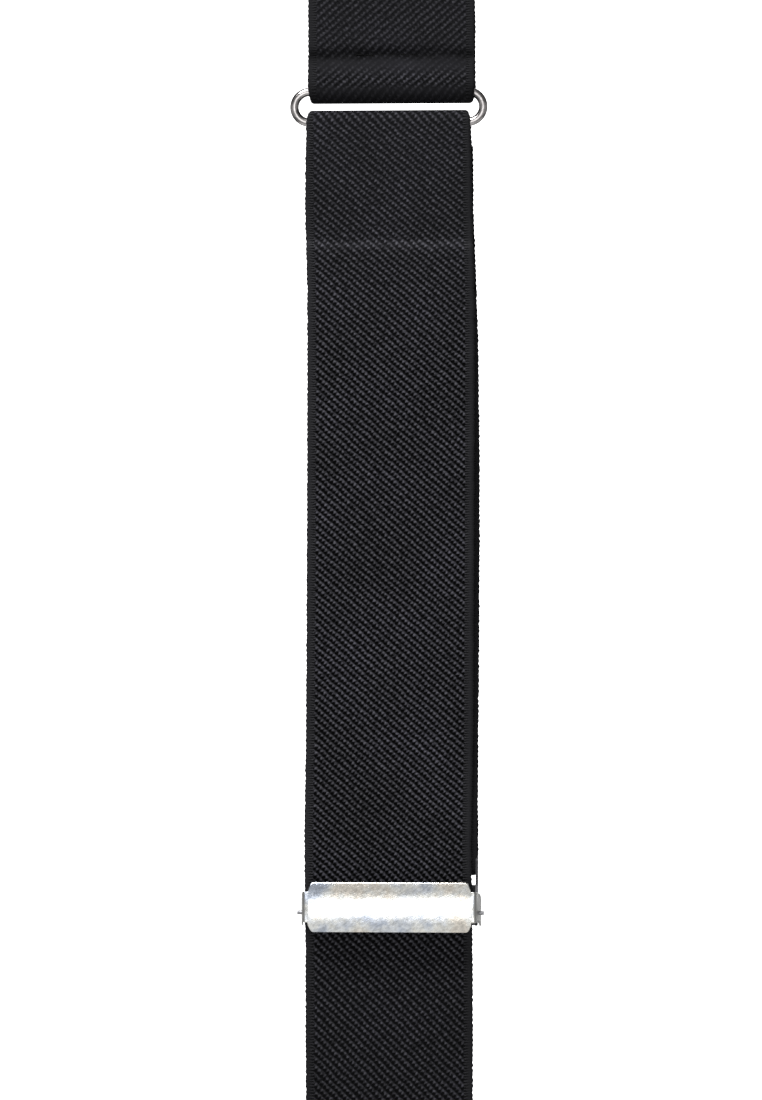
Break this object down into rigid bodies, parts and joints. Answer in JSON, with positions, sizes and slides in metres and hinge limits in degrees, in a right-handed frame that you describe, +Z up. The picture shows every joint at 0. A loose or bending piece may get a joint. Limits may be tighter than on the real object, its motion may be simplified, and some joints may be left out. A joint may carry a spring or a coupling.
{
  "type": "suspenders",
  "caption": "Clip-on dress suspenders in black elastic webbing, with an oval ring and a lever adjuster on each front strap, a leather Y patch at the back and trouser clips.",
  "frame": {"origin": "midway between the undersides of the two shoulder arches, at the height of their middles", "axes": "+Z up, the front faces -Y, +X to the right of someone who looks at the front"},
  "size_m": [0.2954, 0.1315, 0.5948],
  "materials": {
    "webbing": "matte twill",
    "thread": "matte",
    "ring_steel": "polished nickel plate",
    "adjuster_steel": "satin nickel plate, lightly scratched",
    "clip_steel": "nickel plate",
    "pin_steel": "dark steel",
    "leather": "smooth grain",
    "lining": "matte split",
    "grip": "matte"
  },
  "bodies": {
    "harness": {"left_shoulder_strap": "webbing", "left_shoulder_stitching": "thread", "right_shoulder_strap": "webbing", "right_shoulder_stitching": "thread", "patch_outer": "leather", "patch_inner": "lining", "patch_stitching": "thread", "back_strap": "webbing", "back_loop_stitching": "thread"},
    "left_ring_body": {"left_ring": "ring_steel"},
    "left_strap_fold": {"left_ring_wrap": "webbing"},
    "left_adjuster": {"left_rear_run": "webbing", "left_adjuster_loop": "webbing", "left_adjuster_loop_stitching": "thread", "left_adjuster_frame": "adjuster_steel", "left_adjuster_pin": "pin_steel"},
    "left_adjuster_cover": {"left_adjuster_lever": "adjuster_steel", "left_adjuster_jaw": "adjuster_steel"},
    "left_strap_end": {"left_front_run": "webbing", "left_clip_loop": "webbing", "left_clip_loop_stitching": "thread"},
    "left_clip": {"left_clip_base": "clip_steel", "left_clip_base_grip": "grip", "left_clip_pin": "pin_steel"},
    "left_clip_cover": {"left_clip_lever": "clip_steel", "left_clip_lever_grip": "grip"},
    "right_ring_body": {"right_ring": "ring_steel"},
    "right_strap_fold": {"right_ring_wrap": "webbing"},
    "right_adjuster": {"right_rear_run": "webbing", "right_adjuster_loop": "webbing", "right_adjuster_loop_stitching": "thread", "right_adjuster_frame": "adjuster_steel", "right_adjuster_pin": "pin_steel"},
    "right_adjuster_cover": {"right_adjuster_lever": "adjuster_steel", "right_adjuster_jaw": "adjuster_steel"},
    "right_strap_end": {"right_front_run": "webbing", "right_clip_loop": "webbing", "right_clip_loop_stitching": "thread"},
    "right_clip": {"right_clip_base": "clip_steel", "right_clip_base_grip": "grip", "right_clip_pin": "pin_steel"},
    "right_clip_cover": {"right_clip_lever": "clip_steel", "right_clip_lever_grip": "grip"},
    "back_clip": {"back_clip_base": "clip_steel", "back_clip_base_grip": "grip", "back_clip_pin": "pin_steel"},
    "back_clip_cover": {"back_clip_lever": "clip_steel", "back_clip_lever_grip": "grip"}
  },
  "joints": [
    {"name": "left_ring_swing", "type": "hinge", "parent": "harness", "child": "left_ring_body", "pos_m": [-0.125, -0.055, -0.2765], "axis": [1, 0, 0], "range_deg": [-40, 40]},
    {"name": "left_strap_swing", "type": "hinge", "parent": "left_ring_body", "child": "left_strap_fold", "pos_m": [-0.125, -0.055, -0.2835], "axis": [1, 0, 0], "range_deg": [-40, 40]},
    {"name": "left_adjuster_slide", "type": "slide", "parent": "left_strap_fold", "child": "left_adjuster", "axis": [0, 0, 1], "range_m": [-0.015, 0.09], "deforming": ["left_rear_run"]},
    {"name": "left_strap_feed", "type": "slide", "parent": "left_strap_fold", "child": "left_strap_end", "axis": [0, 0, -1], "range_m": [-0.015, 0.09], "deforming": ["left_front_run"]},
    {"name": "left_adjuster_flip", "type": "hinge", "parent": "left_adjuster", "child": "left_adjuster_cover", "pos_m": [-0.125, -0.0592, -0.4645], "axis": [1, 0, 0], "range_deg": [0, 42]},
    {"name": "left_clip_swing", "type": "hinge", "parent": "left_strap_end", "child": "left_clip", "pos_m": [-0.125, -0.05615, -0.545], "axis": [1, 0, 0], "range_deg": [-35, 35]},
    {"name": "left_clip_flip", "type": "hinge", "parent": "left_clip", "child": "left_clip_cover", "pos_m": [-0.125, -0.06315, -0.581], "axis": [1, 0, 0], "range_deg": [0, 100]},
    {"name": "right_ring_swing", "type": "hinge", "parent": "harness", "child": "right_ring_body", "pos_m": [0.125, -0.055, -0.2765], "axis": [1, 0, 0], "range_deg": [-40, 40]},
    {"name": "right_strap_swing", "type": "hinge", "parent": "right_ring_body", "child": "right_strap_fold", "pos_m": [0.125, -0.055, -0.2835], "axis": [1, 0, 0], "range_deg": [-40, 40]},
    {"name": "right_adjuster_slide", "type": "slide", "parent": "right_strap_fold", "child": "right_adjuster", "axis": [0, 0, 1], "range_m": [-0.015, 0.09], "deforming": ["right_rear_run"]},
    {"name": "right_strap_feed", "type": "slide", "parent": "right_strap_fold", "child": "right_strap_end", "axis": [0, 0, -1], "range_m": [-0.015, 0.09], "deforming": ["right_front_run"]},
    {"name": "right_adjuster_flip", "type": "hinge", "parent": "right_adjuster", "child": "right_adjuster_cover", "pos_m": [0.125, -0.0592, -0.4645], "axis": [1, 0, 0], "range_deg": [0, 42]},
    {"name": "right_clip_swing", "type": "hinge", "parent": "right_strap_end", "child": "right_clip", "pos_m": [0.125, -0.05615, -0.545], "axis": [1, 0, 0], "range_deg": [-35, 35]},
    {"name": "right_clip_flip", "type": "hinge", "parent": "right_clip", "child": "right_clip_cover", "pos_m": [0.125, -0.06315, -0.581], "axis": [1, 0, 0], "range_deg": [0, 100]},
    {"name": "back_clip_swing", "type": "hinge", "parent": "harness", "child": "back_clip", "pos_m": [0, 0.055, -0.54], "axis": [-1, 0, 0], "range_deg": [-35, 35]},
    {"name": "back_clip_flip", "type": "hinge", "parent": "back_clip", "child": "back_clip_cover", "pos_m": [0, 0.062, -0.576], "axis": [-1, 0, 0], "range_deg": [0, 100]}
  ],
  "couplings": [
    {"joint": "left_strap_feed", "follows": "left_adjuster_slide", "ratio": 1},
    {"joint": "right_strap_feed", "follows": "right_adjuster_slide", "ratio": 1}
  ]
}
